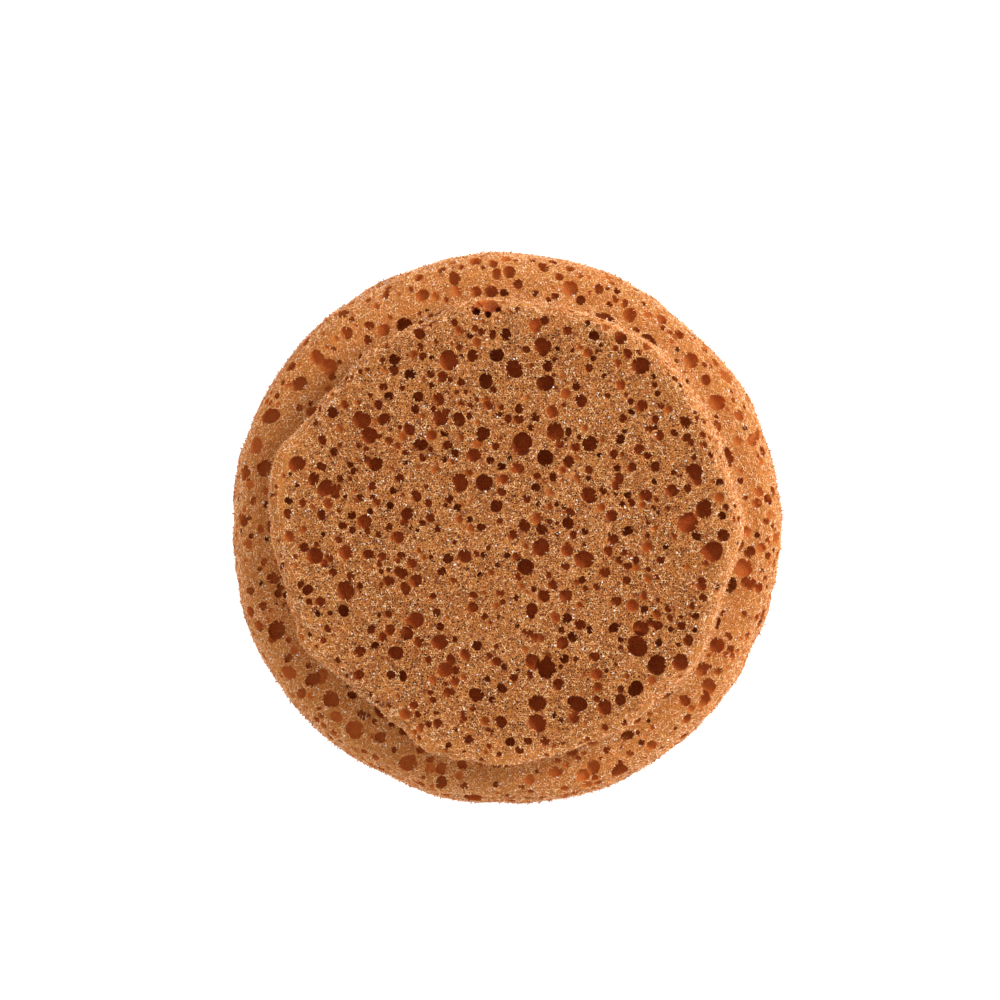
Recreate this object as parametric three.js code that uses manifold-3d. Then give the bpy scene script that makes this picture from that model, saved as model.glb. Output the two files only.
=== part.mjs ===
// A round foam sea sponge for washing: one block of open-cell foam, a thick disc with a narrower
// tier on top of it, trimmed by hand so that the tier's outline is made of short flat cuts.
// A bite is torn out of the tier's rim. Round bubbles are open all over the skin; the largest
// are cut here as real hollows.
// Millimetres, +Z up, origin at the centre of the flat underside.
import * as THREE from "three";
import { mergeVertices } from "three/addons/utils/BufferGeometryUtils.js";
import Module from "manifold-3d";

// Driving dimensions
const BODY_RADIUS = 50; // lower tier at its widest
const FULL_HEIGHT = 45; // underside to the crown of the top face
const LEDGE_HEIGHT = 32; // underside to the ledge round the upper tier
const TIER_RADIUS = 41.5; // upper tier, mean of its flat cuts
const FOOT_ROUND = 4; // rounding where the side meets the underside
const SHOULDER_DROP = 6; // height over which the ledge rolls over into the side
const WAIST_DEPTH = 0.9; // how far the tier's wall is pinched in above the ledge
const RIM_ROUND = 1.8; // rounding of the tier's top edge
const CROWN = 0.6; // rise of the top face from rim to centre
const SIDE_BULGE = 0.3; // how far the lower tier's side swells at mid height
const LEDGE_SWELL = 0.6; // swell of the ledge's outer part and dip of its inner corner
const CORNER_FILL = 2.4; // size of the soft corner between the ledge and the tier's wall

// The hand-trimmed outline
const TIER_CORNERS = [
  // degrees from +X, distance from the middle
  [0, 42.8],
  [28, 41.5],
  [52, 42.4],
  [75, 41.3],
  [99, 42],
  [128, 40.6],
  [164, 44],
  [180, 42.4],
  [209, 42.1],
  [252, 42.4],
  [272, 42.7],
  [297, 42],
  [323, 42.4],
];
const CORNER_ROUND = 3; // degrees either side of a corner over which it is rounded off
const TEAR = { angle: 1.66, reach: 42, height: 43.2, size: [2.8, 2.6, 3.6] }; // bite in the rim
const OVAL = 0.006; // share that the body is wider across one way
const OVAL_TURN = 1.75; // radians of its wider way from +X
const RIPPLE = 0.003; // share of the smaller waves in the body's outline

// Large open pores
const TOP_PORES = [
  // x, y, and width of the mouth
  [-10.5, 30, 3], [-2, 31, 2.6], [1.5, 28.5, 3], [-4, 26.5, 2.3], [7, 26, 2.7], [20.5, 34, 2.2],
  [24, 29, 2.8], [-26, 19.5, 3.1], [-24.5, 16.5, 2.8], [-12, 19.5, 2.6], [-8.5, 19.5, 2.3],
  [-4, 17, 2.4], [8.5, 17.5, 3], [-23.5, 11.5, 2.6], [-37.5, 11.5, 2.7], [-6, 13, 2.6],
  [7, 12.5, 3], [33.5, 10, 2.7], [-8.5, 8, 2.9], [-4, 8, 2.8], [-32.5, 7, 2.5],
  [-25.5, 1, 2.3], [-34.5, -5, 2.5], [-7.5, -5, 2.3], [32.5, 1, 3.2], [37, -4, 3.1],
  [3.5, -7, 2.8], [-19, -8, 2.4], [4.5, -15, 2.5], [24, -18, 2.4], [23.5, -21, 3.2],
  [23, -29, 2.8], [17.5, -32, 2.6], [4.5, -24, 2.5], [-11, -25.5, 2.3], [-5.5, -30, 2.4],
  [5.5, -31.5, 3], [5.5, -35, 2.8], [-22.5, -33, 2.9], [-20, -22.5, 2.4], [31, -24, 2.8],
];
const LEDGE_PORES = [
  // degrees from +X, distance from the middle, and width of the mouth
  [42, 45, 2.5], [75, 44.8, 2.5], [102, 46, 2.2], [110, 44.6, 2.3], [138, 43.5, 2.7],
  [218, 44.8, 2.4], [233, 45.6, 2.9], [290, 46, 2.5], [322, 46.5, 2.6], [347, 45, 2.3],
];
const SIDE_PORES = 12;
const WALL_PORES = 5;
const PORE_WIDTH = [2.1, 3.2]; // mouths of the side's and the wall's pores
const PORE_SINK = [0.15, 0.55]; // depth of a pore's centre under the skin, as a share of its radius
const PORE_MARGIN = 4.5; // from an edge of the block to the nearest of those pores' centres
const PORE_OVAL = [0.84, 1.14]; // a pore's width across as a share of its length
const STRAY = 0.4; // radians that a pore strays from its place in the golden-angle spread
const [TOP, LEDGE, WALL, SIDE] = [0, 100, 200, 300]; // where each kind's scatter values start

// Fineness of the facets
const SEGMENTS = 60;
const CURVE_STEPS = 3;
const GOLDEN_ANGLE = Math.PI * (3 - Math.sqrt(5));

const mix = ([low, high], share) => low + (high - low) * share;

// A repeatable scatter value from 0 to 1 for the nth pore of a kind.
function scatter(n, kind) {
  const wave = Math.sin(n * 12.9898 + kind * 78.233) * 43758.5453;
  return wave - Math.floor(wave);
}

const polar = (angle, reach) =>
  new THREE.Vector2(reach * Math.cos(angle), reach * Math.sin(angle));

// The half section from the underside's centre round to the crown.
function halfSection() {
  const wall = TIER_RADIUS - WAIST_DEPTH;
  const side = BODY_RADIUS - SIDE_BULGE;
  const rim = FULL_HEIGHT - CROWN;
  const section = new THREE.Path();
  section.moveTo(0, 0);
  section.lineTo(BODY_RADIUS - FOOT_ROUND, 0);
  section.quadraticCurveTo(side, 0, side, FOOT_ROUND);
  section.quadraticCurveTo(
    BODY_RADIUS + SIDE_BULGE, LEDGE_HEIGHT / 2,
    side, LEDGE_HEIGHT - SHOULDER_DROP,
  );
  section.bezierCurveTo(
    side - SIDE_BULGE, LEDGE_HEIGHT - SHOULDER_DROP / 4,
    BODY_RADIUS - SHOULDER_DROP / 2, LEDGE_HEIGHT + LEDGE_SWELL,
    TIER_RADIUS + CORNER_FILL, LEDGE_HEIGHT,
  );
  section.quadraticCurveTo(wall, LEDGE_HEIGHT - LEDGE_SWELL, wall, LEDGE_HEIGHT + CORNER_FILL);
  section.quadraticCurveTo(wall, (LEDGE_HEIGHT + FULL_HEIGHT) / 2, TIER_RADIUS, rim - RIM_ROUND);
  section.quadraticCurveTo(TIER_RADIUS, rim, TIER_RADIUS - RIM_ROUND, rim);
  section.quadraticCurveTo(TIER_RADIUS / 2, FULL_HEIGHT, 0, FULL_HEIGHT);
  return section.getPoints(CURVE_STEPS);
}

// The body's outline at an angle, as a factor on its radius: a slight oval with small waves.
function bodyFactor(angle) {
  return (
    1 +
    (OVAL / 2) * Math.cos(2 * (angle - OVAL_TURN)) +
    RIPPLE * Math.sin(5 * angle + 0.6) +
    RIPPLE * Math.sin(11 * angle + 2.1)
  );
}

// Distance from the middle to the straight cut that crosses an angle in degrees.
function cutDistance(degrees) {
  const turned = THREE.MathUtils.euclideanModulo(degrees, 360);
  const next = TIER_CORNERS.findIndex(([corner]) => corner > turned);
  const ends = [TIER_CORNERS.at(next < 0 ? -1 : next - 1), TIER_CORNERS[Math.max(next, 0)]];
  const [from, to] = ends.map(([corner, reach]) => polar(THREE.MathUtils.degToRad(corner), reach));
  const along = to.clone().sub(from);
  return from.cross(along) / polar(THREE.MathUtils.degToRad(turned), 1).cross(along);
}

// The tier's outline at an angle, as a factor on its radius: straight cuts with softened corners.
function tierFactor(angle) {
  const degrees = THREE.MathUtils.radToDeg(angle);
  const reaches = [-1, 0, 1].map((side) => cutDistance(degrees + side * CORNER_ROUND));
  return (reaches[0] + reaches[1] + reaches[2]) / 3 / TIER_RADIUS;
}

// Places a point of the round section on the hand-trimmed sponge: the tier's outline fades into
// the body's across the ledge.
function place(angle, radius, height) {
  const onTier = height > LEDGE_HEIGHT - SHOULDER_DROP / 3;
  const [inner, outer] = [TIER_RADIUS + LEDGE_SWELL, BODY_RADIUS - FOOT_ROUND / 2];
  const tierShare = onTier ? 1 - THREE.MathUtils.smoothstep(radius, inner, outer) : 0;
  const factor = THREE.MathUtils.lerp(bodyFactor(angle), tierFactor(angle), tierShare);
  const { x, y } = polar(angle, radius * factor);
  return new THREE.Vector3(x, y, height);
}

// The foam block before its pores are opened.
function blockGeometry() {
  const block = new THREE.LatheGeometry(halfSection(), SEGMENTS);
  block.rotateX(Math.PI / 2);
  const corners = block.getAttribute("position");
  for (let i = 0; i < corners.count; i++) {
    const [x, y, z] = [corners.getX(i), corners.getY(i), corners.getZ(i)];
    corners.setXYZ(i, ...place(Math.atan2(y, x), Math.hypot(x, y), z).toArray());
  }
  return block;
}

// One bubble, slightly egg-shaped, turned at random about its own centre.
function poreGeometry(centre, radius, n) {
  const pore = new THREE.IcosahedronGeometry(radius, 1);
  pore.scale(1, mix(PORE_OVAL, scatter(n, 1)), 1);
  pore.rotateX(Math.PI * scatter(n, 2));
  pore.rotateZ(Math.PI * scatter(n, 3));
  return pore.translate(centre.x, centre.y, centre.z);
}

// The bubble behind a mouth of a given width, and how deep its centre lies under the skin.
function bubble(width, n) {
  const sinkShare = mix(PORE_SINK, scatter(n, 4));
  const radius = width / 2 / Math.sqrt(1 - sinkShare ** 2);
  return { radius, sink: radius * sinkShare };
}

// The large pores of the top face, the ledge, the tier's wall and the body's side.
function poreGeometries() {
  const pores = [];
  TOP_PORES.forEach(([x, y, width], i) => {
    const { radius, sink } = bubble(width, TOP + i);
    const skin = FULL_HEIGHT - CROWN * (Math.hypot(x, y) / TIER_RADIUS) ** 2;
    pores.push(poreGeometry(new THREE.Vector3(x, y, skin - sink), radius, TOP + i));
  });
  LEDGE_PORES.forEach(([degrees, reach, width], i) => {
    const { radius, sink } = bubble(width, LEDGE + i);
    const { x, y } = polar(THREE.MathUtils.degToRad(degrees), reach);
    pores.push(poreGeometry(new THREE.Vector3(x, y, LEDGE_HEIGHT - sink), radius, LEDGE + i));
  });
  // The rest are spread round by golden angles.
  const spread = (n, heights, share, reach) => {
    const { radius, sink } = bubble(mix(PORE_WIDTH, scatter(n, 5)), n);
    const heading = n * GOLDEN_ANGLE + STRAY * scatter(n, 6);
    pores.push(poreGeometry(place(heading, reach - sink, mix(heights, share)), radius, n));
  };
  const wallHeights = [LEDGE_HEIGHT + PORE_MARGIN, FULL_HEIGHT - PORE_MARGIN];
  for (let i = 0; i < WALL_PORES; i++) {
    spread(WALL + i, wallHeights, scatter(i, 7), TIER_RADIUS - WAIST_DEPTH / 2);
  }
  const sideHeights = [PORE_MARGIN, LEDGE_HEIGHT - SHOULDER_DROP];
  for (let i = 0; i < SIDE_PORES; i++) {
    spread(SIDE + i, sideHeights, (i + 0.5) / SIDE_PORES, BODY_RADIUS);
  }
  return pores;
}

// The bite torn out of the tier's rim.
function tearGeometry() {
  const tear = new THREE.IcosahedronGeometry(1, 2);
  tear.scale(...TEAR.size);
  const { x, y } = polar(TEAR.angle, TEAR.reach);
  return tear.translate(x, y, TEAR.height);
}

const wasm = await Module();
wasm.setup();

// Joins and cuts need a closed mesh with shared corners.
function toSolid(geometry) {
  geometry.deleteAttribute("normal");
  geometry.deleteAttribute("uv");
  const merged = mergeVertices(geometry, 1e-3);
  return new wasm.Manifold(
    new wasm.Mesh({
      numProp: 3,
      vertProperties: merged.getAttribute("position").array,
      triVerts: new Uint32Array(merged.getIndex().array),
    }),
  );
}

function toGeometry(solid) {
  const { vertProperties, triVerts } = solid.getMesh();
  const geometry = new THREE.BufferGeometry();
  geometry.setAttribute("position", new THREE.BufferAttribute(vertProperties, 3));
  geometry.setIndex(new THREE.BufferAttribute(triVerts, 1));
  return geometry;
}

function makeSponge() {
  let foam = toSolid(blockGeometry()).subtract(toSolid(tearGeometry()));
  for (const pore of poreGeometries()) foam = foam.subtract(toSolid(pore));
  const geometry = toGeometry(foam);
  // The origin is under the middle of the body's own width and depth.
  geometry.computeBoundingBox();
  const middle = geometry.boundingBox.getCenter(new THREE.Vector3());
  geometry.translate(-middle.x, -middle.y, 0);
  geometry.computeVertexNormals();
  const material = new THREE.MeshStandardMaterial({
    color: 0xb87744,
    roughness: 0.95,
    metalness: 0,
  });
  const sponge = new THREE.Mesh(geometry, material);
  sponge.name = "sponge";
  return sponge;
}

const part = new THREE.Group();
part.name = "sea_sponge";
part.add(makeSponge());

export default part;
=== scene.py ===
# %% [markdown]
# # A round foam sea sponge
# A washing sponge of this kind is one block of soft open-cell foam. It is cut from a bun of foam
# as a thick disc, and a narrower tier is trimmed on top of it by hand. Two scales of hole give it
# its look: round bubbles one to three millimetres wide, and between them a net of cells less than
# half a millimetre wide, whose struts catch the light. This notebook builds both as real shapes.

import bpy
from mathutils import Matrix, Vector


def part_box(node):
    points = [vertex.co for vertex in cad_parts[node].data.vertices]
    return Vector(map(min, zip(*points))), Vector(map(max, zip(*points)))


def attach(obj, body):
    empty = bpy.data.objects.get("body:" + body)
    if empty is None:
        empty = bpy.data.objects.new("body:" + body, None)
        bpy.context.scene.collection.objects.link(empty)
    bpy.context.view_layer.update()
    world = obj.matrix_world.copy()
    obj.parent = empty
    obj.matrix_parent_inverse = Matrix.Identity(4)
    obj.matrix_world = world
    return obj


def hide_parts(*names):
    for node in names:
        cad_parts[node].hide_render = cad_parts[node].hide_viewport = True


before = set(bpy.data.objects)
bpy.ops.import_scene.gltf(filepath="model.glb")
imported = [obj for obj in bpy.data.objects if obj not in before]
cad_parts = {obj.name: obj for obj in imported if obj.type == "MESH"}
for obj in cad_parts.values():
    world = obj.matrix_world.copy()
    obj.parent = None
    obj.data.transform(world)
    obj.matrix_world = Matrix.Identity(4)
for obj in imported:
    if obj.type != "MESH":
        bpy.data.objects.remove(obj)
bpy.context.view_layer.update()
low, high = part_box("sponge")
print("the solid is", [round(side * 1000, 1) for side in high - low], "mm")

# %% Tools used in every cell
import math

import bmesh
import bpy
import numpy as np
from mathutils import Matrix, Vector, noise
from mathutils.bvhtree import BVHTree

MM = 0.001  # metres in a millimetre
random = np.random.default_rng(27)
scene = bpy.context.scene

# %% [markdown]
# ## Camera, floor and light
# The sponge lies on its broad side and is seen from straight above. A long lens from far away
# keeps the sides of the disc upright in the picture. The floor is a light table, as for many
# pictures of goods: it takes away the shadow round the sponge and sends light into its sides. A
# broad lamp low on the right makes the left of the tier a little darker. All lengths below are in
# millimetres, and each finished mesh is scaled to metres.

# %% Colour helper
def linear(code):
    """The linear colour that shaders read, from an sRGB hex code such as "c98b5a"."""
    shares = [int(code[place : place + 2], 16) / 255 for place in (0, 2, 4)]
    curve = [share / 12.92 if share < 0.04 else ((share + 0.055) / 1.055) ** 2.4 for share in shares]
    return (*curve, 1)


# %% Material helper
def add_node(tree, kind, settings, inputs):
    """Adds a node, with its settings, and sets or links each of the inputs named or numbered."""
    node = tree.nodes.new(kind)
    for name, value in settings.items():
        setattr(node, name, value)
    for name, value in inputs.items():
        if isinstance(value, bpy.types.NodeSocket):
            tree.links.new(value, node.inputs[name])
        else:
            node.inputs[name].default_value = value
    return node


def new_material(name, **values):
    """A material with these values on its Principled shader, the shader and its node tree."""
    material = bpy.data.materials.new(name)
    material.use_nodes = True
    shader = material.node_tree.nodes["Principled BSDF"]
    for socket, value in values.items():
        shader.inputs[socket.replace("_", " ")].default_value = value
    return material, shader, material.node_tree


# %% Camera
CAMERA_DISTANCE = 1400  # from the widest part of the sponge
WIDEST_AT = 16  # height of the widest part
PICTURE_WIDTH = 183  # what the picture takes in, at the widest part
CAMERA_ASIDE = (-1.2, 5.0)  # the camera's middle beside the sponge's
SENSOR = 36

camera_data = bpy.data.cameras.new("camera")
camera_data.sensor_width = SENSOR
camera_data.lens = SENSOR * CAMERA_DISTANCE / PICTURE_WIDTH
camera = bpy.data.objects.new("camera", camera_data)
camera.location = Vector((*CAMERA_ASIDE, CAMERA_DISTANCE + WIDEST_AT)) * MM
scene.collection.objects.link(camera)
scene.camera = camera
print("the lens is", round(camera_data.lens), "mm long")

# %% Floor
FLOOR_SIZE = 3000
TABLE_GLOW = 0.75  # light that the table gives, where 1 shows as white
floor_shape = bmesh.new()
bmesh.ops.create_grid(floor_shape, x_segments=1, y_segments=1, size=FLOOR_SIZE / 2 * MM)
floor_mesh = bpy.data.meshes.new("floor")
floor_shape.to_mesh(floor_mesh)
floor_shape.free()
floor = bpy.data.objects.new("floor", floor_mesh)
scene.collection.objects.link(floor)
floor_material, _, _ = new_material(
    "acrylic_sheet_white_cast_lit_from_below",
    Base_Color=linear("f4f4f4"),
    Roughness=0.7,
    Emission_Color=linear("ffffff"),
    Emission_Strength=TABLE_GLOW,
)
floor_mesh.materials.append(floor_material)

# %% Light
LAMPS = {
    # place in mm, width in mm, strength in watts
    "key_right": ((590, 330, 590), 280, 5.3),
    "sky_above": ((-60, 80, 1300), 1500, 5.4),
}
AIR_STRENGTH = 0.54

for name, (place, width, watts) in LAMPS.items():
    lamp_data = bpy.data.lights.new(name, "AREA")
    lamp_data.size = width * MM
    lamp_data.energy = watts
    lamp = bpy.data.objects.new(name, lamp_data)
    lamp.location = Vector(place) * MM
    lamp.rotation_euler = Vector(place).to_track_quat("Z", "Y").to_euler()
    lamp.visible_camera = False
    scene.collection.objects.link(lamp)

scene.world = bpy.data.worlds.new("white_air")
scene.world.use_nodes = True
air = scene.world.node_tree.nodes["Background"]
air.inputs["Color"].default_value = linear("ffffff")
air.inputs["Strength"].default_value = AIR_STRENGTH
scene.view_settings.view_transform = "Standard"

# %% [markdown]
# ## The block
# The block could be sculpted, but its shape is a turned one with a trimmed outline, so a half
# section is spun round first. Each point is then pushed in or out: the lower tier by a few soft
# waves, the upper tier onto the straight cuts that the knife left. A voxel remesh turns the
# spun grid into even faces, which take bumps and bubbles equally well everywhere.

# %% Sizes of the block
BODY_RADIUS = (high.x - low.x + high.y - low.y) / 4 / MM
FULL_HEIGHT = (high.z - low.z) / MM
LEDGE_HEIGHT = 32  # underside to the ledge round the upper tier
TIER_RADIUS = 41.5  # upper tier, mean of its flat cuts
FOOT_ROUND = 4  # rounding where the side meets the underside
SHOULDER_DROP = 6  # height over which the ledge rolls over into the side
WAIST_DEPTH = 0.9  # how far the tier's wall is pinched in above the ledge
RIM_ROUND = 1.8  # rounding of the tier's top edge
CROWN = 0.6  # rise of the top face from rim to centre
SIDE_BULGE = 0.3  # how far the lower tier's side swells at mid height
LEDGE_SWELL = 0.6  # swell of the ledge's outer part and dip of its inner corner
CORNER_FILL = 2.4  # size of the soft corner between the ledge and the tier's wall
print("body radius", round(BODY_RADIUS, 2), "mm, height", round(FULL_HEIGHT, 2), "mm")

# %% Half section
CURVE_STEPS = 12


def bezier(points, share):
    """The place on a Bezier curve of two, three or four points, a share of the way along it."""
    while len(points) > 1:
        points = [start.lerp(end, share) for start, end in zip(points, points[1:])]
    return points[0]


def half_section():
    """Stretches of the outline from the middle of the underside to the middle of the top."""
    wall = TIER_RADIUS - WAIST_DEPTH
    side = BODY_RADIUS - SIDE_BULGE
    rim = FULL_HEIGHT - CROWN
    shoulder = LEDGE_HEIGHT - SHOULDER_DROP
    foot_start = (BODY_RADIUS - FOOT_ROUND, 0)
    corner = (TIER_RADIUS + CORNER_FILL, LEDGE_HEIGHT)
    rim_start = (TIER_RADIUS, rim - RIM_ROUND)
    rim_end = (TIER_RADIUS - RIM_ROUND, rim)
    underside = [(0, 0), foot_start]
    sides = [
        [foot_start, (side, 0), (side, FOOT_ROUND)],
        [(side, FOOT_ROUND), (BODY_RADIUS + SIDE_BULGE, LEDGE_HEIGHT / 2), (side, shoulder)],
        [
            (side, shoulder),
            (side - SIDE_BULGE, LEDGE_HEIGHT - SHOULDER_DROP / 4),
            (BODY_RADIUS - SHOULDER_DROP / 2, LEDGE_HEIGHT + LEDGE_SWELL),
            corner,
        ],
        [corner, (wall, LEDGE_HEIGHT - LEDGE_SWELL), (wall, LEDGE_HEIGHT + CORNER_FILL)],
        [
            (wall, LEDGE_HEIGHT + CORNER_FILL),
            (wall, (LEDGE_HEIGHT + FULL_HEIGHT) / 2),
            rim_start,
        ],
        [rim_start, (TIER_RADIUS, rim), rim_end],
    ]
    top = [rim_end, (TIER_RADIUS / 2, FULL_HEIGHT), (0, FULL_HEIGHT)]
    return underside, sides, top


def points_along(stretches):
    """Points of some stretches of the outline, as x and z."""
    shares = [step / CURVE_STEPS for step in range(CURVE_STEPS)]
    curves = [[Vector(point) for point in stretch] for stretch in stretches]
    return [bezier(curve, share) for curve in curves for share in shares] + [curves[-1][-1]]


underside, sides, top = half_section()
outline = points_along([underside, *sides, top])
print("the half section has", len(outline), "points")

# %% Trimmed outline
TIER_CORNERS = [
    # degrees from +X, distance from the middle
    (0, 42.8),
    (28, 41.5),
    (52, 42.4),
    (75, 41.3),
    (99, 42),
    (128, 40.6),
    (164, 44),
    (180, 42.4),
    (209, 42.1),
    (252, 42.4),
    (272, 42.7),
    (297, 42),
    (323, 42.4),
    (360, 42.8),
]
CORNER_ROUND = 3  # degrees either side of a corner over which it is rounded off
OVAL = 0.006  # share that the body is wider across one way
OVAL_TURN = 1.75  # radians of its wider way from +X
RIPPLE = 0.003  # share of the smaller waves in the body's outline
WALL_LEAN = 1.7  # how far the foot of the tier's wall runs out where the wall leans most
LEAN_TOWARDS = 0.1  # radians from +X of the place where it leans most


def polar(angle, reach):
    return Vector((reach * math.cos(angle), reach * math.sin(angle)))


def cut_distance(degrees):
    """Distance from the middle to the straight cut that crosses an angle."""
    turned = degrees % 360
    cuts = zip(TIER_CORNERS, TIER_CORNERS[1:])
    (start, near), (end, far) = next(cut for cut in cuts if turned <= cut[1][0])
    corner = polar(math.radians(start), near)
    along = polar(math.radians(end), far) - corner
    return corner.cross(along) / polar(math.radians(turned), 1).cross(along)


def softened_distance(degrees):
    return sum(cut_distance(degrees + side * CORNER_ROUND) for side in (-1, 0, 1)) / 3


def smooth_share(value, start, end):
    """0 before start, 1 after end, and smooth between them."""
    share = np.clip((value - start) / (end - start), 0, 1)
    return share * share * (3 - 2 * share)


TIER_OUTLINE = [softened_distance(degrees) for degrees in range(361)]


def trimmed(points):
    """Moves points of the turned block, one in each row, onto the hand-trimmed one."""
    x, y, z = points.T
    angle = np.arctan2(y, x)
    body = (
        1
        + OVAL / 2 * np.cos(2 * (angle - OVAL_TURN))
        + RIPPLE * np.sin(5 * angle + 0.6)
        + RIPPLE * np.sin(11 * angle + 2.1)
    )
    tier = np.interp(np.degrees(angle) % 360, np.arange(361), TIER_OUTLINE) / TIER_RADIUS
    inner, outer = TIER_RADIUS + LEDGE_SWELL, BODY_RADIUS - FOOT_ROUND / 2
    on_tier = (z > LEDGE_HEIGHT - SHOULDER_DROP / 3) * (1 - smooth_share(np.hypot(x, y), inner, outer))
    factor = body + (tier - body) * on_tier
    below_rim = 1 - smooth_share(z, LEDGE_HEIGHT, FULL_HEIGHT - RIM_ROUND)
    lean = WALL_LEAN * on_tier * below_rim * (1 + np.cos(angle - LEAN_TOWARDS)) / 2
    factor += lean / np.maximum(np.hypot(x, y), 1)
    return np.column_stack((x * factor, y * factor, z))


print("the tier reaches", round(min(TIER_OUTLINE), 1), "to", round(max(TIER_OUTLINE), 1), "mm")

# %% Mesh helpers
def link(name, mesh):
    piece = bpy.data.objects.new(name, mesh)
    scene.collection.objects.link(piece)
    return piece


def numbers(items, field, width, kind=np.float32):
    """A field of every item of a mesh, one item in each row."""
    values = np.empty(len(items) * width, kind)
    items.foreach_get(field, values)
    return values.reshape(-1, width)


def with_modifiers(piece):
    """A new mesh: the piece's own with its modifiers applied."""
    graph = bpy.context.evaluated_depsgraph_get()
    return bpy.data.meshes.new_from_object(piece.evaluated_get(graph))


# %% Spin the section and even out its faces
TURN_STEPS = 180
EVEN_FACE = 1.2  # side of a face after the remesh

turned_block = bmesh.new()
section = [turned_block.verts.new((x, 0, z)) for x, z in outline]
section_edges = [turned_block.edges.new(pair) for pair in zip(section, section[1:])]
bmesh.ops.spin(
    turned_block,
    geom=section + section_edges,
    cent=(0, 0, 0),
    axis=(0, 0, 1),
    angle=math.tau,
    steps=TURN_STEPS,
    use_merge=True,
    use_duplicate=False,
)
bmesh.ops.remove_doubles(turned_block, verts=turned_block.verts, dist=0.01)
bmesh.ops.recalc_face_normals(turned_block, faces=turned_block.faces)
block_mesh = bpy.data.meshes.new("block")
turned_block.to_mesh(block_mesh)
turned_block.free()

placed = trimmed(numbers(block_mesh.vertices, "co", 3))
middle = np.append((placed.max(0) + placed.min(0))[:2] / 2, 0)
block_mesh.vertices.foreach_set("co", (placed - middle).ravel())
block = link("block", block_mesh)
remesh = block.modifiers.new("even faces", "REMESH")
remesh.mode = "VOXEL"
remesh.voxel_size = EVEN_FACE
even_mesh = with_modifiers(block)
print("the block has", len(even_mesh.polygons), "even faces")

# %% [markdown]
# ## Unevenness
# Foam is never flat. It swells a little over centimetres, it is lumpy over millimetres, and the
# knife drags crumbs out of the rim. A Displace modifier could do this, but the underside has to
# stay flat and the rim has to be rougher than the rest, so each vertex is moved in code.

# %% Roughen the block
BUMPS = (  # width of a bump, and how far it stands out
    (15, 0.32),
    (5, 0.2),
    (2.4, 0.12),
)
SIDE_BUMPS = 2  # how much rougher the sides are than the top
RIM_CRUMB = (3.4, 1.5)  # width and depth of the crumbs torn from the rim
RIM_BAND = 2.2  # how far from the rim they reach
SOLE_BAND = 3  # height over which the unevenness fades in above the underside


def bump(point, width, height):
    return height * noise.noise(point / width)


def roughened(vertex):
    place, outward = vertex.co.copy(), vertex.normal.copy()
    fade = float(smooth_share(place.z, 0, SOLE_BAND))
    rim_reach = float(np.interp(math.degrees(math.atan2(place.y, place.x)) % 360, range(361), TIER_OUTLINE))
    from_rim = math.hypot(place.xy.length - rim_reach, place.z - (FULL_HEIGHT - CROWN))
    near_rim = math.exp(-((from_rim / RIM_BAND) ** 2))
    rougher = 1 + (SIDE_BUMPS - 1) * (1 - abs(outward.z))
    push = fade * rougher * sum(bump(place, *size) for size in BUMPS)
    crumb = near_rim * bump(place + Vector((90, 0, 0)), *RIM_CRUMB)
    return place + outward * (push + min(crumb, 0.4) - 0.15 * near_rim)


rough = np.array([roughened(vertex) for vertex in even_mesh.vertices])
rough[:, 2] = np.clip(rough[:, 2], 0, FULL_HEIGHT + BUMPS[0][1])
even_mesh.vertices.foreach_set("co", rough.ravel())
even_mesh.update()
block.modifiers.clear()
block.data = even_mesh
skin = BVHTree.FromObject(block, bpy.context.evaluated_depsgraph_get())
print("the rough block spans", np.ptp(rough, axis=0).round(1), "mm")

# %% [markdown]
# ## Bubbles
# Each open pore is a bubble that the knife cut through, so it is a hollow ball whose centre lies
# a little above or below the skin: below, and its mouth is narrower than the ball, which is why
# so many pores look deep and dark. The widest ones are listed one by one. The rest are scattered in
# sizes counted from such foam, and each is refused where it would run too far into another.

# %% Bubbles listed one by one
TOP_PORES = [
    # x, y, and width of the mouth
    (-10.5, 30, 3), (-2, 31, 2.6), (1.5, 28.5, 3), (-4, 26.5, 2.3), (7, 26, 2.7), (20.5, 34, 2.2),
    (24, 29, 2.8), (-26, 19.5, 3.1), (-24.5, 16.5, 2.8), (-12, 19.5, 2.6), (-8.5, 19.5, 2.3),
    (-4, 17, 2.4), (8.5, 17.5, 3), (-23.5, 11.5, 2.6), (-37.5, 11.5, 2.7), (-6, 13, 2.6),
    (7, 12.5, 3), (33.5, 10, 2.7), (-8.5, 8, 2.9), (-4, 8, 2.8), (-32.5, 7, 2.5),
    (-25.5, 1, 2.3), (-34.5, -5, 2.5), (-7.5, -5, 2.3), (32.5, 1, 3.2), (37, -4, 3.1),
    (3.5, -7, 2.8), (-19, -8, 2.4), (4.5, -15, 2.5), (24, -18, 2.4), (23.5, -21, 3.2),
    (23, -29, 2.8), (17.5, -32, 2.6), (4.5, -24, 2.5), (-11, -25.5, 2.3), (-5.5, -30, 2.4),
    (5.5, -31.5, 3), (5.5, -35, 2.8), (-22.5, -33, 2.9), (-20, -22.5, 2.4), (31, -24, 2.8),
]
LEDGE_PORES = [
    # degrees from +X, distance from the middle, and width of the mouth
    (90.5, 42.4, 1.7), (93.8, 42.6, 2.4), (97.5, 42.9, 2),
    (42, 45, 2.5), (75, 44.8, 2.5), (102, 46, 2.2), (110, 44.6, 2.3), (138, 43.5, 2.7),
    (218, 44.8, 2.4), (233, 45.6, 2.9), (290, 46, 2.5), (322, 46.5, 2.6), (347, 45, 2.3),
]


def on_skin_below(x, y):
    """The skin's place and outward direction straight below a point over the sponge."""
    place, outward, _, _ = skin.ray_cast(Vector((x, y, 2 * FULL_HEIGHT)), Vector((0, 0, -1)))
    return place, outward


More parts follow.
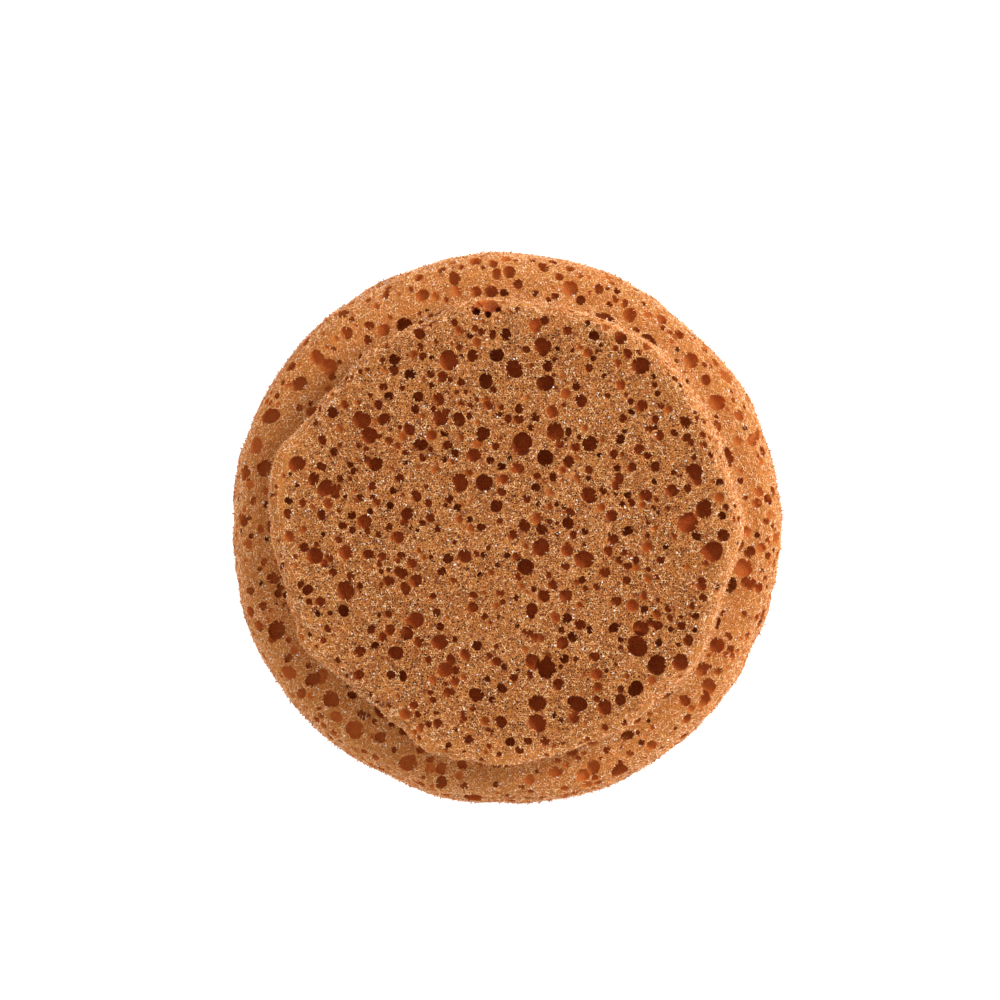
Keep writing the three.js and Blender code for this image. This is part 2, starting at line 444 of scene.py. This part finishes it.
OPENED = 1.14  # a mouth's width, crumbled edge and all, as a share of its clean width
by_hand = [(*on_skin_below(x, y), width * OPENED) for x, y, width in TOP_PORES]
for degrees, reach, width in LEDGE_PORES:
    by_hand.append((*on_skin_below(*polar(math.radians(degrees), reach)), width * OPENED))
print(len(by_hand), "bubbles placed by hand")

# %% Bubbles scattered over the skin
PORE_CLASSES = (  # narrowest and widest mouth, and how many are tried in a square centimetre
    (2.5, 3.7, 1.5),
    (1.9, 2.5, 3.8),
    (1.4, 1.9, 7.2),
    (0.95, 1.4, 11.0),
)
RIM_CLEAR = (1.6, 2)  # mouths wider than the first stay further than the second from the rim
SIDE_SHARE = 0.5  # share of the bubbles that are opened on the sides, which were cut less cleanly
SOLE_SHARE = 0.28  # and on the underside, which is pressed flat
TOO_CLOSE = 1.0  # bubbles keep this share of their reaches apart
DOUBLES = 0.2  # share of bubbles that may run into their neighbour
DOUBLE_CLOSE = 0.62


def triangles_of(mesh):
    mesh.calc_loop_triangles()
    corners = numbers(mesh.loop_triangles, "vertices", 3, np.int32)
    return numbers(mesh.vertices, "co", 3)[corners].astype(float)


def scatter_on(triangles, count):
    """Random places on some triangles, even by area, and the outward direction at each."""
    across = np.cross(triangles[:, 1] - triangles[:, 0], triangles[:, 2] - triangles[:, 0])
    area = np.linalg.norm(across, axis=1) / 2
    chosen = random.choice(len(triangles), count, p=area / area.sum())
    first, second = random.random((2, count, 1))
    swap = first + second > 1
    first, second = np.where(swap, 1 - first, first), np.where(swap, 1 - second, second)
    corner = triangles[chosen, 0]
    places = corner + first * (triangles[chosen, 1] - corner) + second * (triangles[chosen, 2] - corner)
    return places, across[chosen] / (2 * area[chosen, None])


def opened_share(place, outward):
    if place[2] < FOOT_ROUND:
        return SOLE_SHARE
    return SIDE_SHARE if outward[2] < 0.4 else 1


skin_triangles = triangles_of(even_mesh)
sides_a, sides_b = np.diff(skin_triangles[:, :3], axis=1).transpose(1, 0, 2)
skin_area = np.linalg.norm(np.cross(sides_a, sides_b), axis=1).sum() / 2
mouths = [np.array(place) for place, _, _ in by_hand]
outwards = [np.array(outward) for _, outward, _ in by_hand]
widths = [width for _, _, width in by_hand]
for narrowest, widest, per_cm2 in PORE_CLASSES:
    count = round(per_cm2 * skin_area / 100)
    places, directions = scatter_on(skin_triangles, count)
    for place, outward, share in zip(places, directions, random.random(count)):
        if random.random() > opened_share(place, outward):
            continue
        width = narrowest + (widest - narrowest) * share
        by_hand_here = width > PORE_CLASSES[0][0] and place[2] > FULL_HEIGHT - 2 * CROWN
        top_is_taken = by_hand_here and random.random() > 0.4
        rim_reach = np.interp(math.degrees(math.atan2(place[1], place[0])) % 360, range(361), TIER_OUTLINE)
        from_rim = math.hypot(math.hypot(place[0], place[1]) - rim_reach, place[2] - (FULL_HEIGHT - CROWN))
        if width > RIM_CLEAR[0] and from_rim < RIM_CLEAR[1]:
            continue
        apart = np.linalg.norm(np.array(mouths) - place, axis=1)
        closest = (apart / (np.array(widths) / 2 + width / 2)).min()
        if closest < (DOUBLE_CLOSE if random.random() < DOUBLES else TOO_CLOSE) or top_is_taken:
            continue
        mouths.append(place)
        outwards.append(outward)
        widths.append(width)
print(len(widths), "bubbles on", round(skin_area / 100), "square centimetres of skin")

# %% Sizes and depths of the bubbles
SINK_DEEP = (0.1, 0.68)  # depth of the centre under the skin, as a share of the bubble's radius
SINK_SHALLOW = (-0.62, -0.1)
SHALLOW_SHARE = 0.28
FLATTEN = (0.82, 1.12)  # a mouth's width across as a share of its length
DEEPEN = (1.0, 1.25)  # how much deeper than wide a bubble is


def mixed(limits, shares):
    return limits[0] + (limits[1] - limits[0]) * shares


def frames_on(directions):
    """For each direction, three unit axes at right angles, the last along it, turned at random."""
    seeds = random.normal(size=directions.shape)
    first = np.cross(directions, seeds)
    first /= np.linalg.norm(first, axis=1, keepdims=True)
    return np.stack((first, np.cross(directions, first), directions), axis=2)


mouths, outwards, widths = np.array(mouths), np.array(outwards), np.array(widths)
count = len(widths)
shallow = (random.random(count) < SHALLOW_SHARE) & (np.arange(count) >= len(by_hand))
sinks = np.where(shallow, mixed(SINK_SHALLOW, random.random(count)), mixed(SINK_DEEP, random.random(count)))
radii = widths / 2 / np.sqrt(1 - sinks**2)
deep = mixed(DEEPEN, random.random(count))
stretch = np.column_stack((np.ones(count), mixed(FLATTEN, random.random(count)), deep))
bubble_frames = frames_on(outwards) * (radii[:, None] * stretch)[:, None, :]
bubble_centres = mouths - outwards * (radii * sinks * deep)[:, None]
print("radii from", radii.min().round(2), "to", radii.max().round(2), "mm")

# %% Joining many copies of a shape
def ball(segments):
    """Vertices and triangles of a ball of radius 1."""
    shape = bmesh.new()
    bmesh.ops.create_uvsphere(shape, u_segments=segments, v_segments=segments * 2 // 3, radius=1)
    bmesh.ops.triangulate(shape, faces=shape.faces)
    vertices = np.array([vertex.co for vertex in shape.verts])
    faces = np.array([[vertex.index for vertex in face.verts] for face in shape.faces])
    shape.free()
    return vertices, faces


def joined(name, shape, frames, places, uneven=0):
    """One mesh of many copies of a shape, each turned and sized by its frame and put in its place."""
    vertices, faces = shape
    copies = np.repeat(vertices[None], len(places), axis=0)
    if uneven:
        leans = random.normal(size=(len(places), 2, 3))
        leans /= np.linalg.norm(leans, axis=2, keepdims=True)
        one, other = np.einsum("nkj,vj->knv", leans, vertices)
        copies *= (1 + uneven * (one**2 - 0.33 + other**3))[:, :, None]
    all_vertices = np.einsum("nij,nvj->nvi", frames, copies) + places[:, None]
    all_faces = faces + len(vertices) * np.arange(len(places))[:, None, None]
    mesh = bpy.data.meshes.new(name)
    mesh.from_pydata(all_vertices.reshape(-1, 3).tolist(), [], all_faces.reshape(-1, 3).tolist())
    return mesh


# %% [markdown]
# ## Opening the bubbles
# One Boolean cut for each bubble would be slow, and one cut by all of them at once would fail
# where two overlap. So the bubbles are sorted into sets in which none touches another, and each
# set is one cutter. The Manifold solver is fast enough for thousands of bubbles and keeps the
# block closed. Large bubbles are cut with finer balls than small ones.

# %% Sort the bubbles into sets that don't touch
BALL_SEGMENTS = ((0, 8), (0.75, 10), (1.1, 12), (1.5, 16))  # radius from which each is used
BITES = [
    # x, y, z, width and depth of the hollows that make the torn notches in the tier's rim
    (-3.4, 41.2, 43.2, 4.2, 9),
    (-2.7, 39.7, 44.8, 2.8, 8),
    (-5.1, 40.4, 45, 2, 5),
    (-0.9, 41, 44.8, 2, 6),
    (-5.4, 38.7, 44.4, 1.6, 8),
    (-3.4, 38.3, 44.4, 1.4, 9),
    (-1.6, 39.2, 44.4, 1.3, 8),
    (-38, -19.5, 44, 3, 4),
    (-29.5, -29, 43.8, 2.8, 6),
    (-31.2, -27, 44.6, 1.8, 4),
    (40, -14.5, 44, 2.2, 4),
]

UNEVEN = 0.16  # how far a bubble strays from round, as a share of its radius
reaches = radii * stretch.max(1) * (1 + 1.67 * UNEVEN)
bubble_sets = []
for index in range(count):
    for chosen in bubble_sets:
        apart = np.linalg.norm(bubble_centres[chosen] - bubble_centres[index], axis=1)
        if (apart > reaches[chosen] + reaches[index] + 0.02).all():
            chosen.append(index)
            break
    else:
        bubble_sets.append([index])
print(len(bubble_sets), "sets of", [len(chosen) for chosen in bubble_sets])

# %% Cut them
FOAM_TRIANGLES = 250000
starts = [start for start, _ in BALL_SEGMENTS]
fineness = np.digitize(radii, starts) - 1
cutters = []
for number, chosen in enumerate(bubble_sets):
    for level, (_, segments) in enumerate(BALL_SEGMENTS):
        alike = [index for index in chosen if fineness[index] == level]
        if alike:
            name = f"bubbles_{number}_{segments}"
            placed = bubble_frames[alike], bubble_centres[alike]
            cutters.append(joined(name, ball(segments), *placed, uneven=UNEVEN))
for number, (*bite, width, depth) in enumerate(BITES):
    size = np.diag((width / 2, width / 2, depth / 2))[None]
    cutters.append(joined(f"bite_{number}", ball(12), size, np.array([bite]), uneven=UNEVEN))
for mesh in cutters:
    cut = block.modifiers.new(mesh.name, "BOOLEAN")
    cut.operation = "DIFFERENCE"
    cut.solver = "MANIFOLD"
    cut.object = link(mesh.name, mesh)
opened = with_modifiers(block)
for helper in [block, *(cut.object for cut in block.modifiers)]:
    bpy.data.objects.remove(helper)
thinned = link("thinned", opened)
faces_made = len(triangles_of(opened))
share_kept = min(1, FOAM_TRIANGLES / faces_made)
thinned.modifiers.new("fewer faces", "DECIMATE").ratio = share_kept
foam_mesh = with_modifiers(thinned)
bpy.data.objects.remove(thinned)
print("the bubbles leave", faces_made, "triangles, of which", round(share_kept, 2), "are kept")
foam_mesh.name = "foam_block"
foam = link("foam_block", foam_mesh)
open_skin = BVHTree.FromObject(foam, bpy.context.evaluated_depsgraph_get())
print("the foam block has", len(triangles_of(foam_mesh)), "triangles")

# %% Remember how deep every point lies
SHARP_EDGE = 40  # degrees at which a mouth keeps a crisp edge
ON_SKIN = 0.05  # distance within which a point still counts as part of the cut skin
WALL_DEPTH = 0.3  # added to the depth of every point of a bubble's wall, so that rims stay pale
depths = np.array([skin.find_nearest(vertex.co)[3] for vertex in foam_mesh.vertices])
depths += WALL_DEPTH * (depths > ON_SKIN)
foam_mesh.attributes.new("depth_mm", "FLOAT", "POINT").data.foreach_set("value", depths)
foam_mesh.shade_smooth()
foam_mesh.set_sharp_from_angle(angle=math.radians(SHARP_EDGE))
print("the deepest pore is", round(max(depths), 1), "mm deep")

# %% [markdown]
# ## Foam
# The real material is polyurethane foam, dyed through, with open cells. Light sinks into it and
# comes back redder each time it is scattered, so the struts on the skin look light tan and the
# walls of the bubbles deep red-brown with depth. Here that change is painted shade: the depth
# stored on the mesh paints each wall darker and redder the deeper it lies, and near the thin edge
# the walls and the skin are painted paler, as painted light. A cell pattern at the foam's own scale
# breaks up the skin between the struts, with painted shade in the gaps where cells are open.

# %% Foam material
CELL = 0.45  # width of a foam cell
PATCH = 7  # width of the patches in which the foam is lighter or darker
CLUSTER = 1.8  # width of the spots in which many cells are open to the dark inside
# Painted light: from PALE_FROM to PALE_TO the skin and the struts are painted paler, for light soaking through
# the thin edge.
PALE_FROM, PALE_TO = 36, 42  # the foam turns paler between these distances from the middle
SOLE_FADE = 6  # height over which that fades in above the underside, which is one tone
GLOW_FROM, GLOW_TO = 40.5, 44  # light soaks through the thin edge and lifts its pores from here
GLOW_LOW, GLOW_HIGH = 18, 29  # and it does so more near the ledge than down the sides

foam_material, foam_shader, tree = new_material(
    "polyurethane_foam_open_cell_cut",
    Roughness=0.9,
    Specular_IOR_Level=0.15,
    Subsurface_Weight=0.45,
    Subsurface_Radius=(1, 0.45, 0.2),
    Subsurface_Scale=1.8 * MM,
)
place = add_node(tree, "ShaderNodeTexCoord", {}, {}).outputs["Object"]
cells = add_node(
    tree,
    "ShaderNodeTexVoronoi",
    {"feature": "DISTANCE_TO_EDGE"},
    {"Vector": place, "Scale": 1 / (CELL * MM), "Randomness": 0.9},
).outputs["Distance"]
strut = add_node(
    tree,
    "ShaderNodeMapRange",
    {"interpolation_type": "SMOOTHSTEP"},
    {"Value": cells, "From Min": 0.3, "From Max": 0.05},
).outputs["Result"]
patches = add_node(
    tree,
    "ShaderNodeTexNoise",
    {},
    {"Vector": place, "Scale": 1 / (PATCH * MM), "Detail": 4, "Roughness": 0.6},
).outputs["Fac"]
bottomless = add_node(
    tree,
    "ShaderNodeTexVoronoi",
    {"feature": "F1"},
    {"Vector": place, "Scale": 1 / (CELL * MM), "Randomness": 1},
).outputs["Color"]
clusters = add_node(
    tree,
    "ShaderNodeTexNoise",
    {},
    {"Vector": place, "Scale": 1 / (CLUSTER * MM), "Detail": 3},
).outputs["Fac"]
opened_here = add_node(
    tree, "ShaderNodeMath", {"operation": "MULTIPLY_ADD"}, {0: clusters, 1: 1.6, 2: bottomless}
).outputs["Value"]
darkest = add_node(
    tree,
    "ShaderNodeMapRange",
    {"interpolation_type": "SMOOTHSTEP"},
    {"Value": opened_here, "From Min": 1.25, "From Max": 1.5},
).outputs["Result"]
# Painted shade: the gaps between the struts are painted dark brown, and darkest in spots where many cells are
# open, for the shade inside the open cells.
open_cell_shade = add_node(
    tree,
    "ShaderNodeMix",
    {"data_type": "RGBA"},
    {"Factor": patches, 6: linear("6e2a0c"), 7: linear("9a4a1c")},
).outputs[2]
gap_shade_tone = add_node(
    tree,
    "ShaderNodeMix",
    {"data_type": "RGBA"},
    {"Factor": darkest, 6: open_cell_shade, 7: linear("3a1205")},
).outputs[2]
strut_tone = add_node(
    tree,
    "ShaderNodeMix",
    {"data_type": "RGBA"},
    {"Factor": patches, 6: linear("b0682e"), 7: linear("d28f4e")},
).outputs[2]
inner_tone = add_node(
    tree,
    "ShaderNodeMix",
    {"data_type": "RGBA"},
    {"Factor": strut, 6: gap_shade_tone, 7: strut_tone},
).outputs[2]
flat_place = add_node(
    tree, "ShaderNodeVectorMath", {"operation": "MULTIPLY"}, {0: place, 1: (1, 1, 0)}
).outputs["Vector"]
from_middle = add_node(
    tree, "ShaderNodeVectorMath", {"operation": "LENGTH"}, {0: flat_place}
).outputs["Value"]
height = add_node(tree, "ShaderNodeSeparateXYZ", {}, {"Vector": place}).outputs["Z"]
# Painted light: the skin near the edge is painted paler, fading out towards the underside.
strongest_edge_light = add_node(
    tree, "ShaderNodeMapRange", {}, {"Value": height, "From Max": SOLE_FADE * MM, "To Max": 0.48}
).outputs["Result"]
painted_edge_light = add_node(
    tree,
    "ShaderNodeMapRange",
    {"interpolation_type": "SMOOTHSTEP"},
    {"Value": from_middle, "From Min": PALE_FROM * MM, "From Max": PALE_TO * MM, "To Max": strongest_edge_light},
).outputs["Result"]
skin_tone = add_node(
    tree,
    "ShaderNodeMix",
    {"data_type": "RGBA"},
    {"Factor": painted_edge_light, 6: inner_tone, 7: linear("d88e48")},
).outputs[2]
depth = add_node(tree, "ShaderNodeAttribute", {"attribute_name": "depth_mm"}, {}).outputs["Fac"]
# Painted shade: the walls of the bubbles are painted darker and redder the deeper they lie.
pore_shade_ramp = add_node(tree, "ShaderNodeValToRGB", {}, {"Fac": depth})
ramp = pore_shade_ramp.color_ramp
ramp.elements[0].color = linear("b8703a")
ramp.elements[1].position = 0.35
ramp.elements[1].color = linear("bc6a2e")
for position, code in ((0.65, "b0541a"), (1.0, "a04010")):
    ramp.elements.new(position).color = linear(code)
into_pore = add_node(
    tree,
    "ShaderNodeMapRange",
    {"interpolation_type": "SMOOTHSTEP"},
    {"Value": depth, "From Min": 0.05, "From Max": 0.45, "To Max": 0.85},
).outputs["Result"]
strongest_glow = add_node(
    tree,
    "ShaderNodeMapRange",
    {"interpolation_type": "SMOOTHSTEP"},
    {
        "Value": height,
        "From Min": GLOW_LOW * MM,
        "From Max": GLOW_HIGH * MM,
        "To Min": 0.25,
        "To Max": 0.55,
    },
).outputs["Result"]
glow = add_node(
    tree,
    "ShaderNodeMapRange",
    {"interpolation_type": "SMOOTHSTEP"},
    {
        "Value": from_middle,
        "From Min": GLOW_FROM * MM,
        "From Max": GLOW_TO * MM,
        "To Max": strongest_glow,
    },
).outputs["Result"]
wall_tone = add_node(
    tree,
    "ShaderNodeMix",
    {"data_type": "RGBA"},
    {"Factor": glow, 6: pore_shade_ramp.outputs["Color"], 7: linear("dc7c38")},
).outputs[2]
colour = add_node(
    tree,
    "ShaderNodeMix",
    {"data_type": "RGBA"},
    {"Factor": into_pore, 6: skin_tone, 7: wall_tone},
).outputs[2]
relief = add_node(
    tree, "ShaderNodeBump", {}, {"Strength": 0.7, "Distance": 0.12 * MM, "Height": strut}
).outputs["Normal"]
tree.links.new(colour, foam_shader.inputs["Base Color"])
tree.links.new(relief, foam_shader.inputs["Normal"])
foam_mesh.materials.clear()
foam_mesh.materials.append(foam_material)

# %% Finish the block
foam_mesh.transform(Matrix.Scale(MM, 4))
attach(foam, "root")
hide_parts("sponge")

# %% [markdown]
# ## The net of cells
# Under a lens, the cut skin is a net: each foam cell was sliced open, and the struts between
# cells are left standing as a ragged honeycomb. A bump map would look flat at the edges of the
# sponge, so the struts are real: a honeycomb is laid over the top, round the sides and under the
# sole, its corners are shaken out of line, and each edge becomes one thin sliver with four
# faces. Edges that would cross the mouth of a bubble are left out, so the bubbles stay open.

# %% Honeycomb
SHAKE = 0.3  # how far a corner strays, as a share of the cell's width


def honeycomb(width, height, cell):
    """Corners, one in each row, and edges of a flat honeycomb, shaken out of line."""
    across, up = cell, cell * math.sqrt(3)
    columns, rows = math.ceil(width / across), math.ceil(height / up)
    side = cell / math.sqrt(3)
    pattern = np.array([(0, side / 2), (0, -side / 2), (across / 2, side), (across / 2, 2 * side)])
    column, row = np.meshgrid(np.arange(columns), np.arange(rows))
    origins = np.column_stack((column.ravel() * across, row.ravel() * up))
    corners = (origins[:, None] + pattern).reshape(-1, 2)
    corners += random.uniform(-SHAKE, SHAKE, corners.shape) * cell

    def index(shift_column, shift_row, number):
        return ((row + shift_row) % rows * columns + (column + shift_column) % columns) * 4 + number

    links = [
        (index(0, 0, 1), index(0, 0, 0)),
        (index(0, 0, 0), index(0, 0, 2)),
        (index(0, 0, 0), index(-1, 0, 2)),
        (index(0, 0, 2), index(0, 0, 3)),
        (index(0, 0, 3), index(0, 1, 1)),
        (index(0, 0, 3), index(1, 1, 1)),
    ]
    return corners, np.concatenate([np.column_stack((a.ravel(), b.ravel())) for a, b in links])


corners, edges = honeycomb(10, 10, 0.6)
print("a square centimetre of 0.6 mm cells has", len(edges), "struts")

# %% Struts
STRUT_WIDTH = 0.155
STRUT_LIFT = (-0.03, 0.16)  # how far a corner stands off the skin
MISSING = 0.1  # share of struts that the knife took away one by one
OVERHANG = 0.5  # share of the struts at a mouth's edge that reach out over it
TORN = (0.75, 0.26)  # width of the spots where it took them all, and the share of skin they cover
CLUMP = (0.45, 0.3)  # width of a clump of struts of like tone, and how far single ones stray
SLIVER = (
    np.array([(-0.5, -0.5, 0), (-0.5, 0.5, 0), (0.5, 0, -0.5), (0.5, 0, 0.5)]),
    np.array([(0, 1, 2), (1, 0, 3), (0, 2, 3), (1, 3, 2)]),
)


def settle(corners):
    """Puts corners on the skin, shaken in and out, and says which have foam under them."""
    settled, under = np.empty_like(corners), np.empty(len(corners), bool)
    lifts = mixed(STRUT_LIFT, random.random(len(corners)))
    for number, (corner, lift) in enumerate(zip(corners, lifts)):
        place, outward, _, _ = skin.find_nearest(corner)
        settled[number] = place + outward * lift
        settled[number, 2] = max(settled[number, 2], STRUT_WIDTH / 2)
        under[number] = open_skin.find_nearest(place)[3] < 0.06
    return settled, under


def slivers(name, starts, ends, width):
    """One mesh of slivers from starts to ends."""
    along = ends - starts
    length = np.linalg.norm(along, axis=1)
    axes = frames_on(along / length[:, None])[:, :, [2, 0, 1]]
    sizes = np.column_stack((length * 1.15, width, width))
    return joined(name, SLIVER, axes * sizes[:, None, :], (starts + ends) / 2)


def noise_rank(places, width):
    """A smooth noise at some places, spread evenly over 0 to 1."""
    values = np.array([noise.noise(Vector(place) / width) for place in places])
    return values.argsort().argsort() / max(len(values), 1)


def net(name, corners, edges):
    settled, under = settle(corners)
    starts, ends = settled[edges[:, 0]], settled[edges[:, 1]]
    length = np.linalg.norm(ends - starts, axis=1)
    ends_held = under[edges].sum(1)
    held = (ends_held == 2) | (ends_held == 1) & (random.random(len(edges)) < OVERHANG)
    keep = held & (length > 0.05) & (length < 2) & (random.random(len(edges)) > MISSING)
    starts, ends = starts[keep], ends[keep]
    keep = noise_rank(starts + TORN[0], TORN[0]) > TORN[1]
    starts, ends = starts[keep], ends[keep]
    width = STRUT_WIDTH * random.uniform(0.7, 1.3, len(starts))
    finish_slivers(slivers(name, starts, ends, width), strut_materials, tone_slots(starts))


# %% Strut materials
# The inner tones differ at random in clumps, and partly they are painted shade and painted highlight: the
# darkest and the palest stand for shaded and lit struts of one foam.
INNER_TONES = ("6e2c0c", "c47030", "f4ac64", "ffdaa4")
# The outer tones are painted light: paler struts for light soaking through the thin edge.
OUTER_TONES = ("c87432", "f0a45c", "ffc486", "ffdcac")
TONE_SHARES = (0.28, 0.3, 0.25, 0.17)
strut_materials = [
    new_material(f"polyurethane_strut_cut_{code}", Base_Color=linear(code), Roughness=0.6, IOR=1.5)[0]
    for code in (*INNER_TONES, *OUTER_TONES)
]


def tone_slots(places):
    """A material slot for a strut at each place: in clumps of like tone, and paler outside, as painted light.
    """
    rank = noise_rank(places, CLUMP[0]) + random.normal(scale=CLUMP[1], size=len(places))
    rank = rank.argsort().argsort() / len(rank)
    tone = np.digitize(rank, np.cumsum(TONE_SHARES[:-1]))
    # Painted light: struts near the edge, and most near the ledge, get the paler outer tones.
    pale = smooth_share(np.hypot(*places[:, :2].T), PALE_FROM, PALE_TO)
    pale *= 0.5 * smooth_share(places[:, 2], 0, SOLE_FADE) + 0.5 * smooth_share(places[:, 2], 20, 28)
    return tone + len(INNER_TONES) * (random.random(len(places)) < pale)


def finish_slivers(mesh, materials, slots):
    """Shares the materials out sliver by sliver and hands the piece to the frame."""
    for material in materials:
        mesh.materials.append(material)
    mesh.polygons.foreach_set("material_index", np.repeat(slots, len(SLIVER[1])).astype(np.int32))
    mesh.transform(Matrix.Scale(MM, 4))
    piece = link(mesh.name, mesh)
    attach(piece, "root")
    print(piece.name, "has", len(mesh.polygons), "triangles")
    return piece


# %% Net over the top and the underside
TOP_CELL = 0.47
SOLE_CELL = 0.85


def flat_net(name, reach, height, cell):
    corners, edges = honeycomb(2 * reach, 2 * reach, cell)
    corners -= reach
    inside = np.hypot(*corners.T) < reach
    edges = edges[inside[edges].all(1)]
    used, edges = np.unique(edges, return_inverse=True)
    corners = np.column_stack((corners[used], np.full(len(used), height)))
    net(name, corners, edges.reshape(-1, 2))


flat_net("cell_net_top", TIER_RADIUS - RIM_ROUND / 2, FULL_HEIGHT, TOP_CELL)
flat_net("cell_net_underside", BODY_RADIUS - FOOT_ROUND, 0, SOLE_CELL)

# %% Nets round the side and the tier
SIDE_CELL = 0.62
TIER_CELL = 0.56


def round_net(name, stretches, cell):
    """A net wrapped round the sponge, over some stretches of its half section."""
    path = np.array([tuple(point) for point in points_along(stretches)])
    steps = np.linalg.norm(np.diff(path, axis=0), axis=1)
    walked = np.append(0, np.cumsum(steps))
    girth = math.tau * path[:, 0].mean()
    corners, edges = honeycomb(girth, walked[-1], cell)
    angle = corners[:, 0] / girth * math.tau
    reach, height = (np.interp(corners[:, 1], walked, path[:, axis]) for axis in (0, 1))
    turned = np.column_stack((reach * np.cos(angle), reach * np.sin(angle), height))
    net(name, trimmed(turned) - middle, edges)


round_net("cell_net_side", sides[:2], SIDE_CELL)
round_net("cell_net_tier", sides[2:], TIER_CELL)

# %% [markdown]
# ## Broken struts
# Where a blade tears through foam, it leaves loose ends standing up, and they blur the outline.
# They are the same slivers, set on end over the skin, thicker on the sides than on the top.

# %% Loose ends
LOOSE_ENDS = 40000
LOOSE_LENGTH = (0.12, 0.6)
LOOSE_WIDTH = 0.26
LEAN = 0.6  # how far a loose end leans over, as a share of its length

places, directions = scatter_on(skin_triangles, LOOSE_ENDS)
standing = (places[:, 2] > SOLE_BAND) & (random.random(LOOSE_ENDS) < np.where(directions[:, 2] > 0.9, 0.15, 1))
standing &= np.array([open_skin.find_nearest(place)[3] < 0.06 for place in places])
places, directions = places[standing], directions[standing]
leaning = directions + random.normal(scale=LEAN, size=directions.shape)
leaning /= np.linalg.norm(leaning, axis=1, keepdims=True)
tips = places + leaning * mixed(LOOSE_LENGTH, random.random((len(places), 1)) ** 2)
loose = slivers("loose_ends", places - directions * 0.05, tips, np.full(len(places), LOOSE_WIDTH))
finish_slivers(loose, strut_materials, tone_slots(places))

# %% [markdown]
# ## Cell windows
# Most cells burst as the foam rose, but here and there a thin film still spans a cell. It is
# smooth, so it flashes under a lamp. Each is one flat flake with a clear, glossy finish over a colour painted
# near white, a painted highlight, so it shows as a white speck wherever light reaches it.

# %% Flakes
WINDOWS_PER_CM2 = 14
WINDOW_SIZE = (0.25, 0.5)
FLAKE = (
    np.array([(1, 0, 0), (-0.5, 0.87, 0), (-0.5, -0.87, 0), (0, 0, 0.12)]),
    np.array([(0, 2, 1), (0, 1, 3), (1, 2, 3), (2, 0, 3)]),
)
count = round(WINDOWS_PER_CM2 * skin_area / 100)
places, directions = scatter_on(skin_triangles, count)
over_foam = np.array([open_skin.find_nearest(place)[3] < 0.06 for place in places])
places, directions = places[over_foam], directions[over_foam]
tilted = directions + random.normal(scale=0.35, size=directions.shape)
tilted /= np.linalg.norm(tilted, axis=1, keepdims=True)
sizes = mixed(WINDOW_SIZE, random.random(len(places))) / 2
flakes = joined("cell_windows", FLAKE, frames_on(tilted) * sizes[:, None, None], places + directions * 0.12)
# Painted highlight: the base colour is near white so that each flake reads as a glint; the gloss and the coat
# are real.
window_material, _, _ = new_material(
    "polyurethane_film_blown",
    Base_Color=linear("fff4ea"),
    Roughness=0.18,
    IOR=1.5,
    Coat_Weight=0.6,
    Coat_Roughness=0.08,
)
finish_slivers(flakes, [window_material], np.zeros(len(places)))
